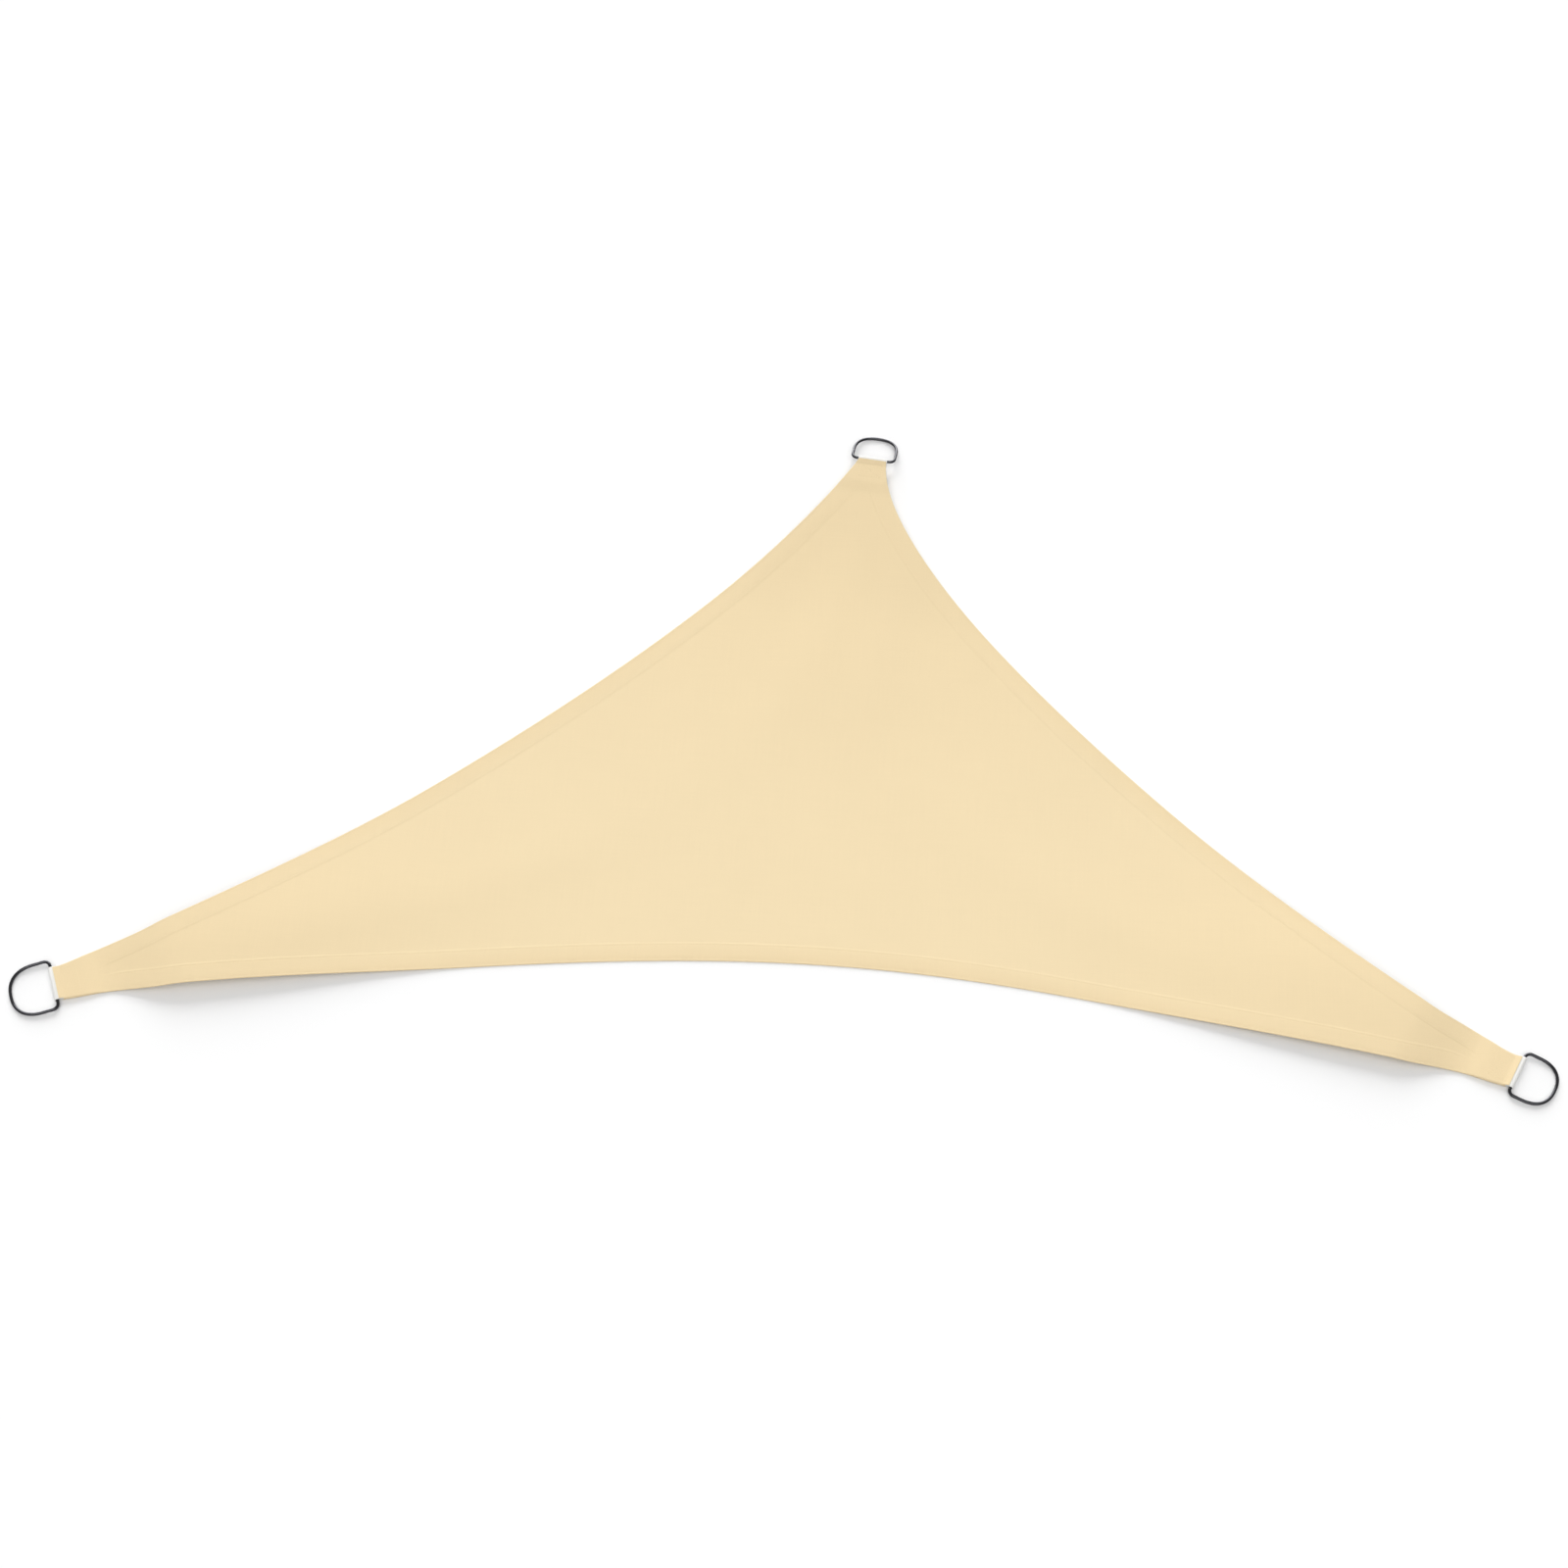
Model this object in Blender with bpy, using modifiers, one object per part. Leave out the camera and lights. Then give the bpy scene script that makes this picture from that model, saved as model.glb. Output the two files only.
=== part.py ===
"""Triangular shade sail, laid out on a flat surface.

One panel of hemmed cloth with three hollow-cut edges. At each corner a loop of
white webbing is sewn in between the cloth's two plies and holds a steel D-ring.
The middle of the panel lies flat. Towards the two near corners it rises in a low
arch and comes down again to the ring; towards the far one it slopes up to it.

Metres, +Z up. X runs along the longest edge, +Y points to the far corner, and
the origin is under the middle of the bounding box, on the surface.
"""

import math
from collections import namedtuple

import bmesh
import bpy
import numpy as np
from mathutils import Matrix, Vector

# Clearance between any two pieces that touch.
GAP = 0.0003

# D-ring, bent from round steel wire. Its bar is the straight side.
WIRE_RADIUS = 0.003
RING_BEND = 0.011  # radius of the two corners beside the bar
ARC_FULLNESS = 2.4  # 2 is a round far end, more is squarer
ARC_STEPS = 26
BEND_STEPS = 4
WIRE_ROUNDNESS = 3  # bevel resolution

# Webbing loop: one strap folded round the bar, its two ends sewn together.
STRAP_THICKNESS = 0.0015
STRAP_TAIL_END = 0.050  # from the bar's centre to the strap's hidden ends
STRAP_CLOSING_ANGLE = math.radians(12)  # how fast its two layers come together
STRAP_ARC_STEPS = 10

# Cloth.
CLOTH_THICKNESS = 0.002
PLY_THICKNESS = 0.001  # each ply over and under the webbing
CUT_SETBACK = 0.004  # from the bar's centre back to the cloth's cut end
PLIES_JOIN_FROM = 0.060  # past here the two plies taper into the plain cloth
PLIES_JOINED_AT = 0.085
PANEL_CENTRE = Vector((0.036, -0.225))  # where the panel's three arms meet
ROWS_ALONG_ARM = 24
COLUMNS_ACROSS_ARM = 10
ROW_CROWDING = 1.7  # above 1 the rows crowd towards the corner

STRAP_EYE_RADIUS = WIRE_RADIUS + GAP
STRAP_OUTER_RADIUS = STRAP_EYE_RADIUS + STRAP_THICKNESS

# One row for each corner. x and y are the middle of the ring's bar, and
# outward_deg is the way the ring points. The cut end of the cloth is cut_width
# wide and its strap strap_width. The ring is ring_width wide along its bar and
# ring_depth deep, from the bar to the far arc, both between wire centres.
Corner = namedtuple(
    "Corner",
    "name x y outward_deg cut_width strap_width ring_width ring_depth",
)
CORNERS = (
    Corner("left", -1.3341, -0.6780, 202.0, 0.070, 0.072, 0.106, 0.080),
    Corner("right", 1.3423, -0.6775, -25.0, 0.068, 0.070, 0.096, 0.072),
    Corner("apex", 0.1054, 0.6715, 83.5, 0.058, 0.060, 0.088, 0.073),
)

# How the cloth rises near each corner. lift raises the bar above where it would
# lie. The cloth leaves the bar at start_slope, levels out at crest_height at
# crest_at from it, and lies flat from flat_at. A soft fold runs on from the
# corner. Seen facing outwards, the strip at the corner bows to its left by sway.
Arch = namedtuple(
    "Arch", "lift start_slope crest_at crest_height flat_at fold_height sway"
)
ARCHES = {
    "left": Arch(0.0, -0.03, 0.23, 0.0245, 0.76, 0.004, -0.008),
    "right": Arch(0.0, -0.03, 0.215, 0.0215, 0.77, 0.004, 0.010),
    "apex": Arch(0.014, -0.045, 0.42, 0.001, 0.45, 0.004, 0.0),
}
SWAY_LENGTH = 0.20  # from the bar to where the strip runs straight again

# One row for each edge, going anticlockwise. The edge leaves one corner and
# arrives at the next along these directions; a longer pull keeps to them longer.
Edge = namedtuple(
    "Edge", "name start end leave_deg leave_pull arrive_deg arrive_pull"
)
EDGES = (
    Edge("near", "left", "right", 10.3, 1.477, 170.4, 1.127),
    Edge("right", "right", "apex", 168.1, 0.195, -93.1, 0.338),
    Edge("left", "apex", "left", -119.8, 0.638, 22.6, 0.276),
)

FOLD_SPREAD_AT_CORNER = 0.030
FOLD_SPREAD_PER_METRE = 0.14
EDGE_SAMPLES = 400


def new_collection(name):
    collection = bpy.data.collections.new(name)
    bpy.context.scene.collection.children.link(collection)
    return collection


def new_material(name, colour, roughness, metallic=0.0):
    material = bpy.data.materials.new(name)
    material.use_nodes = True
    material.diffuse_color = (*colour, 1.0)
    shader = material.node_tree.nodes["Principled BSDF"]
    shader.inputs["Base Color"].default_value = (*colour, 1.0)
    shader.inputs["Roughness"].default_value = roughness
    shader.inputs["Metallic"].default_value = metallic
    return material


def new_curve(name, dimensions, outlines):
    """A curve of closed straight-segment outlines, each a list of (x, y)."""
    curve = bpy.data.curves.new(name, "CURVE")
    curve.dimensions = dimensions
    for outline in outlines:
        spline = curve.splines.new("POLY")
        spline.points.add(len(outline) - 1)
        for point, (x, y) in zip(spline.points, outline):
            point.co = (x, y, 0.0, 1.0)
        spline.use_cyclic_u = True
    return curve


def direction(angle):
    return Vector((math.cos(angle), math.sin(angle)))


# --- Webbing loop ------------------------------------------------------------


def strap_half_height(distance):
    """Half the loop's outer height at this distance behind the bar's centre."""
    closing = STRAP_OUTER_RADIUS - distance * math.sin(STRAP_CLOSING_ANGLE)
    return max(closing / math.cos(STRAP_CLOSING_ANGLE), STRAP_THICKNESS)


def arc_round_bar(radius):
    """Points round the front of the bar, from its top tangent to its bottom one."""
    start = math.pi / 2 - STRAP_CLOSING_ANGLE
    sweep = 2 * math.pi - 2 * start
    steps = [start + sweep * i / STRAP_ARC_STEPS for i in range(STRAP_ARC_STEPS + 1)]
    return [tuple(radius * direction(angle)) for angle in steps]


def strap_outline(grown=0.0):
    """The loop's outer side view: x runs back from the bar, y is up."""
    radius = STRAP_OUTER_RADIUS + grown
    tail = STRAP_THICKNESS + grown
    closed_at = (radius - tail * math.cos(STRAP_CLOSING_ANGLE)) / math.sin(
        STRAP_CLOSING_ANGLE
    )
    end = STRAP_TAIL_END + grown
    return arc_round_bar(radius) + [
        (closed_at, -tail),
        (end, -tail),
        (end, tail),
        (closed_at, tail),
    ]


def strap_eye_outline():
    """The drop-shaped space round the bar, closed where the layers meet."""
    meeting = STRAP_EYE_RADIUS / math.sin(STRAP_CLOSING_ANGLE)
    return arc_round_bar(STRAP_EYE_RADIUS) + [(meeting, 0.0)]


def strap_curve(name, outlines, width):
    curve = new_curve(name, "2D", outlines)
    curve.fill_mode = "BOTH"
    curve.extrude = width / 2
    return curve


# --- D-ring ------------------------------------------------------------------


def ring_bend(corner, side):
    """The wire's corner from the bar to one side, side +1 or -1 along the bar."""
    centre = Vector((RING_BEND, side * (corner.ring_width / 2 - RING_BEND)))
    turn = side * math.pi / 2
    angles = [math.pi - turn * i / BEND_STEPS for i in range(BEND_STEPS + 1)]
    return [tuple(centre + RING_BEND * direction(angle)) for angle in angles]


def ring_arc(corner):
    """The far end, a squared-off half circle, from one side to the other."""
    half_width = corner.ring_width / 2
    starts_at = corner.ring_depth - half_width
    points = []
    for i in range(ARC_STEPS + 1):
        angle = math.pi / 2 - math.pi * i / ARC_STEPS
        outward_share = abs(math.cos(angle)) ** (2 / ARC_FULLNESS)
        side_share = abs(math.sin(angle)) ** (2 / ARC_FULLNESS)
        y = math.copysign(half_width * side_share, angle)
        points.append((starts_at + half_width * outward_share, y))
    return points


def ring_outline(corner):
    """The wire's centre line: the bar on x = 0, the far arc towards +X."""
    return ring_bend(corner, 1) + ring_arc(corner) + ring_bend(corner, -1)[::-1]


def ring_curve(corner):
    curve = new_curve(f"d_ring_{corner.name}", "3D", [ring_outline(corner)])
    curve.bevel_depth = WIRE_RADIUS
    curve.bevel_resolution = WIRE_ROUNDNESS
    return curve


# --- Where the corners are ---------------------------------------------------


def outward(corner):
    return direction(math.radians(corner.outward_deg))


def bar_height(corner):
    """Unlifted, the cloth's cut end rests on the surface."""
    arch = ARCHES[corner.name]
    resting = strap_half_height(CUT_SETBACK) + GAP + PLY_THICKNESS
    return resting - arch.start_slope * CUT_SETBACK + arch.lift


def cut_end(corner, side):
    """An end of the cloth's cut, side +1 to the left when facing outwards."""
    out = outward(corner)
    across = Vector((-out.y, out.x))
    bar = Vector((corner.x, corner.y))
    return bar - CUT_SETBACK * out + side * corner.cut_width / 2 * across


def corner_named(name):
    return next(corner for corner in CORNERS if corner.name == name)


# --- Cloth -------------------------------------------------------------------


def sideways(corner, points):
    """How far the corner's strip bows to one side at each of these points."""
    out = np.array(outward(corner))
    distance = (np.array([corner.x, corner.y]) - points) @ out
    share = np.clip(distance / SWAY_LENGTH, 0.0, 1.0)
    bow = ARCHES[corner.name].sway * np.sin(math.pi * share) ** 2
    return bow[:, None] * np.array([-out[1], out[0]])


def edge_path(edge):
    """The edge as a function of the share of its length, from 0 to 1."""
    start, end = corner_named(edge.start), corner_named(edge.end)
    first, last = cut_end(start, 1), cut_end(end, -1)
    leave = first + edge.leave_pull * direction(math.radians(edge.leave_deg))
    arrive = last + edge.arrive_pull * direction(math.radians(edge.arrive_deg))
    t = np.linspace(0.0, 1.0, EDGE_SAMPLES)[:, None]
    points = (
        (1 - t) ** 3 * np.array(first)
        + 3 * (1 - t) ** 2 * t * np.array(leave)
        + 3 * (1 - t) * t**2 * np.array(arrive)
        + t**3 * np.array(last)
    )
    for corner in (start, end):
        points += sideways(corner, points)
    steps = np.linalg.norm(np.diff(points, axis=0), axis=1)
    length = np.concatenate([[0.0], np.cumsum(steps)])
    share = length / length[-1]

    def at(where):
        return Vector([np.interp(where, share, points[:, i]) for i in (0, 1)])

    return at


def smooth_between(near, far, near_slope, span, share):
    """A cubic from near to far that leaves at near_slope and arrives level."""
    a = 2 * share**3 - 3 * share**2 + 1
    b = share**3 - 2 * share**2 + share
    c = 3 * share**2 - 2 * share**3
    return a * near + b * near_slope * span + c * far


def from_bar(corner, point):
    """How far the point is behind the bar, and how far off the corner's axis."""
    offset = Vector((corner.x, corner.y)) - point
    out = outward(corner)
    return offset.dot(out), offset.x * out.y - offset.y * out.x


def arch_height(arch, bar, distance):
    """Height of the middle of the cloth's thickness, from a bar at this height."""
    flat = CLOTH_THICKNESS / 2
    if distance < PLIES_JOINED_AT:
        return bar + arch.start_slope * distance
    if distance < arch.crest_at:
        span = arch.crest_at - PLIES_JOINED_AT
        start = bar + arch.start_slope * PLIES_JOINED_AT
        share = (distance - PLIES_JOINED_AT) / span
        return smooth_between(start, arch.crest_height, arch.start_slope, span, share)
    if distance < arch.flat_at:
        span = arch.flat_at - arch.crest_at
        share = (distance - arch.crest_at) / span
        return smooth_between(arch.crest_height, flat, 0.0, span, share)
    return flat


def fold_height(arch, distance, off_axis):
    """A soft fold that starts where the plies join and fans out from the corner."""
    fold_end = arch.flat_at + arch.crest_at
    share = (distance - PLIES_JOIN_FROM) / (fold_end - PLIES_JOIN_FROM)
    if not 0.0 < share < 1.0:
        return 0.0
    spread = FOLD_SPREAD_AT_CORNER + FOLD_SPREAD_PER_METRE * distance
    along = math.sin(math.pi * share) ** 2
    return arch.fold_height * along * math.exp(-((off_axis / spread) ** 2))


def cloth_height(corner, point):
    distance, off_axis = from_bar(corner, point)
    arch = ARCHES[corner.name]
    height = arch_height(arch, bar_height(corner), distance)
    return height + fold_height(arch, distance, off_axis)


def half_thickness(distance):
    """The plies close over the webbing, then taper into the plain cloth."""
    plain = CLOTH_THICKNESS / 2
    closed = strap_half_height(distance) + GAP + PLY_THICKNESS
    share = (distance - PLIES_JOIN_FROM) / (PLIES_JOINED_AT - PLIES_JOIN_FROM)
    share = min(max(share, 0.0), 1.0)
    return closed + (plain - closed) * share


def arm_point(right_edge, left_edge, across, along):
    """A point of one corner's arm.

    across runs from the right-hand edge to the left-hand one, facing outwards;
    along runs from the cut end to the bent line that the three arms share.
    """
    share = along**ROW_CROWDING
    right_side, left_side = right_edge(share), left_edge(share)
    ruled = right_side.lerp(left_side, across)
    right_middle, left_middle = right_edge(1.0), left_edge(1.0)
    if across < 0.5:
        bent = right_middle.lerp(PANEL_CENTRE, 2 * across)
    else:
        bent = PANEL_CENTRE.lerp(left_middle, 2 * across - 1)
    return ruled + share * (bent - right_middle.lerp(left_middle, across))


def add_arm(cloth, thick, corner, paths):
    """Adds one arm of the panel, a grid laid between its two edges."""
    leaving = next(path for edge, path in paths if edge.start == corner.name)
    arriving = next(path for edge, path in paths if edge.end == corner.name)

    def left_edge(share):
        return leaving(share / 2)

    def right_edge(share):
        return arriving(1 - share / 2)

    grid = bmesh.ops.create_grid(
        cloth, x_segments=COLUMNS_ACROSS_ARM, y_segments=ROWS_ALONG_ARM, size=0.5
    )
    for vertex in grid["verts"]:
        across, along = vertex.co.x + 0.5, vertex.co.y + 0.5
        point = arm_point(right_edge, left_edge, across, along)
        distance, _ = from_bar(corner, point)
        vertex.co = (*point, cloth_height(corner, point))
        vertex[thick] = half_thickness(distance)


def build_cloth(collection, material):
    """The panel as an open sheet, given its thickness by Solidify."""
    cloth = bmesh.new()
    thick = cloth.verts.layers.float.new("half_thickness")
    paths = [(edge, edge_path(edge)) for edge in EDGES]
    for corner in CORNERS:
        add_arm(cloth, thick, corner, paths)
    bmesh.ops.remove_doubles(cloth, verts=cloth.verts[:], dist=GAP)
    bmesh.ops.recalc_face_normals(cloth, faces=cloth.faces[:])
    halves = [vertex[thick] for vertex in cloth.verts]
    mesh = bpy.data.meshes.new("sail_cloth")
    cloth.to_mesh(mesh)
    cloth.free()
    mesh.shade_smooth()
    mesh.materials.append(material)
    obj = bpy.data.objects.new("sail_cloth", mesh)
    collection.objects.link(obj)

    thinnest, thickest = min(halves), max(halves)
    group = obj.vertex_groups.new(name="thickness")
    for index, half in enumerate(halves):
        weight = (half - thinnest) / (thickest - thinnest)
        group.add([index], weight, "REPLACE")
    solidify = obj.modifiers.new("Thickness", "SOLIDIFY")
    solidify.thickness = 2 * thickest
    solidify.offset = 0.0
    solidify.vertex_group = group.name
    solidify.thickness_vertex_group = thinnest / thickest
    return obj


# --- Corners -----------------------------------------------------------------


def strap_matrix(corner):
    """Places a side view: its x back along the cloth, its y up, its depth level."""
    pitch = math.atan(ARCHES[corner.name].start_slope)
    back = Vector((-math.cos(pitch), 0.0, math.sin(pitch)))
    up = Vector((math.sin(pitch), 0.0, math.cos(pitch)))
    level = back.cross(up)
    return Matrix((back, up, level)).transposed().to_4x4()


def add_corner_frame(corner, collection):
    """An empty on the middle of the bar, its X axis pointing outwards."""
    frame = bpy.data.objects.new(f"corner_{corner.name}", None)
    frame.location = (corner.x, corner.y, bar_height(corner))
    frame.rotation_euler.z = math.radians(corner.outward_deg)
    frame.empty_display_size = corner.ring_depth
    collection.objects.link(frame)
    return frame


def add_ring(corner, frame, material, collection):
    """The ring hangs from its bar until its far arc touches the surface."""
    curve = ring_curve(corner)
    curve.materials.append(material)
    drop = bar_height(corner) - WIRE_RADIUS
    ring = bpy.data.objects.new(f"d_ring_{corner.name}", curve)
    ring.parent = frame
    ring.rotation_euler.y = math.asin(drop / corner.ring_depth)
    collection.objects.link(ring)


def add_strap(corner, frame, material, collection):
    name = f"corner_loop_{corner.name}"
    outlines = [strap_outline(), strap_eye_outline()]
    curve = strap_curve(name, outlines, corner.strap_width)
    curve.materials.append(material)
    strap = bpy.data.objects.new(name, curve)
    strap.parent = frame
    strap.matrix_local = strap_matrix(corner)
    collection.objects.link(strap)


def pocket_mesh(corner):
    """The space that one strap takes up in the cloth, as a closed mesh."""
    outline = strap_outline(grown=GAP)
    curve = strap_curve("pocket", [outline], corner.strap_width + 2 * GAP)
    guide = bpy.data.objects.new("pocket_guide", curve)
    bpy.context.scene.collection.objects.link(guide)
    graph = bpy.context.evaluated_depsgraph_get()
    mesh = bpy.data.meshes.new_from_object(guide.evaluated_get(graph))
    bpy.data.objects.remove(guide)
    pocket = bmesh.new()
    pocket.from_mesh(mesh)
    bmesh.ops.remove_doubles(pocket, verts=pocket.verts[:], dist=1e-6)
    bmesh.ops.recalc_face_normals(pocket, faces=pocket.faces[:])
    pocket.to_mesh(mesh)
    pocket.free()
    return mesh


def cut_pocket(cloth, corner, frame, collection):
    cutter = bpy.data.objects.new(f"pocket_{corner.name}", pocket_mesh(corner))
    cutter.parent = frame
    cutter.matrix_local = strap_matrix(corner)
    cutter.hide_render = True
    cutter.display_type = "WIRE"
    collection.objects.link(cutter)
    pocket = cloth.modifiers.new(f"Pocket {corner.name}", "BOOLEAN")
    pocket.operation = "DIFFERENCE"
    pocket.solver = "EXACT"
    pocket.object = cutter


def main():
    for obj in list(bpy.data.objects):
        bpy.data.objects.remove(obj)
    parts = new_collection("shade_sail")
    cutters = new_collection("cutters")
    sand_cloth = new_material("sail_cloth", (0.91, 0.75, 0.47), 0.85)
    white_webbing = new_material("webbing", (0.93, 0.93, 0.90), 0.80)
    polished_steel = new_material("ring_steel", (0.10, 0.10, 0.105), 0.15, 1.0)

    cloth = build_cloth(parts, sand_cloth)
    for corner in CORNERS:
        frame = add_corner_frame(corner, parts)
        add_ring(corner, frame, polished_steel, parts)
        add_strap(corner, frame, white_webbing, parts)
        cut_pocket(cloth, corner, frame, cutters)


main()
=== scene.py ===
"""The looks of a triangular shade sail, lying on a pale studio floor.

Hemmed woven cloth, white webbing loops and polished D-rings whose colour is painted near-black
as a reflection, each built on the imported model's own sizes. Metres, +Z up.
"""

import math
from collections import namedtuple

import bmesh
import bpy
import numpy as np
from mathutils import Matrix, Vector


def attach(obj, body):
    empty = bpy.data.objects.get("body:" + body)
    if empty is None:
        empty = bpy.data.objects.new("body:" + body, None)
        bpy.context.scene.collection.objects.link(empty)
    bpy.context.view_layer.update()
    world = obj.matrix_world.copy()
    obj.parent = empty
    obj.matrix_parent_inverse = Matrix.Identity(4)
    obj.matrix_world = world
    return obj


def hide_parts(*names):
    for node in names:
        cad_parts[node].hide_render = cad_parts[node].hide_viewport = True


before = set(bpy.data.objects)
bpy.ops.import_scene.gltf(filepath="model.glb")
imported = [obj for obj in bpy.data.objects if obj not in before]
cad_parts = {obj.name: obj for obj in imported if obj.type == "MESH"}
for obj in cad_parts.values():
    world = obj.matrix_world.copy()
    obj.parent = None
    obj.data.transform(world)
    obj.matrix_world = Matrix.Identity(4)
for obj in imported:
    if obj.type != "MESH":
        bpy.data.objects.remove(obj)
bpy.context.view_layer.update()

# --- Sizes shared with the construction model --------------------------------

# Clearance between any two pieces that touch.
GAP = 0.0003

# D-ring, bent from round steel wire. Its bar is the straight side.
WIRE_RADIUS = 0.003
RING_BEND = 0.011  # radius of the two corners beside the bar
ARC_FULLNESS = 2.4  # 2 is a round far end, more is squarer

# Webbing loop: one strap folded round the bar, its two ends sewn together.
STRAP_THICKNESS = 0.0015
STRAP_TAIL_END = 0.050  # from the bar's centre to the strap's hidden ends
STRAP_CLOSING_ANGLE = math.radians(12)  # how fast its two layers come together
STRAP_EYE_RADIUS = WIRE_RADIUS + GAP
STRAP_OUTER_RADIUS = STRAP_EYE_RADIUS + STRAP_THICKNESS

# Cloth.
CLOTH_THICKNESS = 0.002
PLY_THICKNESS = 0.001  # each ply over and under the webbing
CUT_SETBACK = 0.004  # from the bar's centre back to the cloth's cut end
PLIES_JOIN_FROM = 0.060  # past here the two plies taper into the plain cloth
PLIES_JOINED_AT = 0.085
PANEL_CENTRE = np.array([0.036, -0.225])  # where the panel's three arms meet
ROW_CROWDING = 1.7  # above 1 the rows crowd towards the corner
FOLD_SPREAD_AT_CORNER = 0.030
FOLD_SPREAD_PER_METRE = 0.14

# One row for each corner. x and y are the middle of the ring's bar, and
# outward_deg is the way the ring points. The cut end of the cloth is cut_width
# wide and its strap strap_width. The ring is ring_width wide along its bar and
# ring_depth deep, from the bar to the far arc, both between wire centres.
Corner = namedtuple(
    "Corner", "name x y outward_deg cut_width strap_width ring_width ring_depth"
)
CORNERS = (
    Corner("left", -1.3341, -0.6780, 202.0, 0.070, 0.072, 0.106, 0.080),
    Corner("right", 1.3423, -0.6775, -25.0, 0.068, 0.070, 0.096, 0.072),
    Corner("apex", 0.1054, 0.6715, 83.5, 0.058, 0.060, 0.088, 0.073),
)

# How the cloth rises near each corner. lift raises the bar above where it would
# lie. The cloth leaves the bar at start_slope, levels out at crest_height at
# crest_at from it, and lies flat from flat_at. A soft fold runs on from the
# corner. Seen facing outwards, the strip at the corner bows to its left by sway.
Arch = namedtuple(
    "Arch", "lift start_slope crest_at crest_height flat_at fold_height sway"
)
ARCHES = {
    "left": Arch(0.0, -0.03, 0.23, 0.0245, 0.76, 0.004, -0.008),
    "right": Arch(0.0, -0.03, 0.215, 0.0215, 0.77, 0.004, 0.010),
    "apex": Arch(0.014, -0.045, 0.42, 0.001, 0.45, 0.004, 0.0),
}
SWAY_LENGTH = 0.20  # from the bar to where the strip runs straight again

# One row for each edge, going anticlockwise. The edge leaves one corner and
# arrives at the next along these directions; a longer pull keeps to them longer.
Edge = namedtuple("Edge", "name start end leave_deg leave_pull arrive_deg arrive_pull")
EDGES = (
    Edge("near", "left", "right", 10.3, 1.477, 170.4, 1.127),
    Edge("right", "right", "apex", 168.1, 0.195, -93.1, 0.338),
    Edge("left", "apex", "left", -119.8, 0.638, 22.6, 0.276),
)

# --- Sizes of the finish -----------------------------------------------------

# The camera stands in front of the long edge and looks down at the middle.
CAMERA_TARGET = Vector((-0.0235, -0.1376, 0.0))
CAMERA_DISTANCE = 5.6703
CAMERA_ELEVATION = math.radians(56.0)
CAMERA_AZIMUTH = math.radians(3.9695)
SENSOR_WIDTH = 36.0
LENS = 67.5

# The hem is turned under along every edge and sewn with two rows.
HEM_WIDTH = 0.040
HEM_BAND = 0.042  # the strip that follows the edge, a little past the hem
BAND_SHARE = 0.42  # the most of an arm's width that one band takes
BAND_SWING = 0.15  # over this length the band turns from the cut to the edge
SINGLE_LAYER = 0.0016  # thickness of the panel inside its hem
HEM_STEP_WIDTH = 0.003
HEM_FADES_IN_OVER = 0.060  # past a corner's plies, before its relief is full
EDGE_RADIUS = 0.001  # the rounded fold of the hem
STITCH_ROWS = (0.005, 0.035)  # from the edge
BETWEEN_ROWS = 0.020  # from the edge, clear of both rows
SEAM_DIP = 0.0002
SEAM_HALF_WIDTH = 0.002

# Columns of points across one band, from the edge inwards, closer together where
# the edge is round, at the stitch rows and at the hem's step.
BAND_COLUMNS = (
    0.0, 0.00015, 0.0005, 0.001, 0.002, 0.0035, 0.005, 0.0065, 0.009, 0.016,
    0.024, 0.031, 0.033, 0.035, 0.0365, 0.038, 0.039, 0.040, 0.042,
)
PANEL_COLUMNS = 36
ARM_ROWS = 120
EDGE_SAMPLES = 600
DISTANCE_BATCHES = 40  # keeps the table of distances from the edges small
WELD_DISTANCE = 0.00002
SHARP_ANGLE = math.radians(50)

STITCH_LENGTH = 0.0042
STITCH_PITCH = 0.0050
THREAD_RADIUS = 0.0003
THREAD_SINK = 0.00005  # how far the middle of the thread lies under the surface
STITCH_SIDES = 6
# A stitch tapers to both ends. Each row is a place along it and the thread's
# radius there, as shares of the whole.
STITCH_TAPER = ((0.0, 0.45), (0.5, 1.0), (1.0, 0.45))
HEM_STITCHES_FROM = 0.095  # clear of the corner's own stitching
BOX_FROM, BOX_TO = 0.014, 0.046  # the sewn box over the strap, from the bar
BOX_MARGIN = 0.007  # from the strap's sides

STRAP_ARC_STEPS = 36
POCKET_ARC_STEPS = 24
SELVEDGE_POINTS = 5  # across each rounded side of a strap
TAIL_PARTING = 0.00002  # half the space between a strap's two tails
BEND_STEPS = 10
ARC_STEPS = 88
WIRE_ROUNDNESS = 8  # bevel resolution

# Painted shade: the cloth is drawn darker along its edges, where the hem doubles it, and near
# each corner, fading out over these lengths.
CORNER_SHADE_FROM = 0.05  # painted shade darkens the cloth near a corner, from this far behind its bar
CORNER_SHADE_FADE = 1.0
EDGE_SHADE_FADE = 0.055

# Sizes of the patterns in the materials.
CLOTH_YARN_PITCH = 0.0009
SLUB_LENGTH = 0.12
SLUB_STRETCH = 60.0  # slubs are this many times as long as wide
DYE_CLOUD_SIZE = 0.25
THREAD_TWIST_PITCH = 0.0006
WEBBING_RIB_PITCH = 0.0022
WEBBING_WEFT_PITCH = 0.0013
SOILING_SIZE = 0.03
WIRE_MARK_SIZE = 0.0016
WIRE_MARK_STRETCH = 6.0
WIRE_WEAR_SIZE = 0.018
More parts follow.
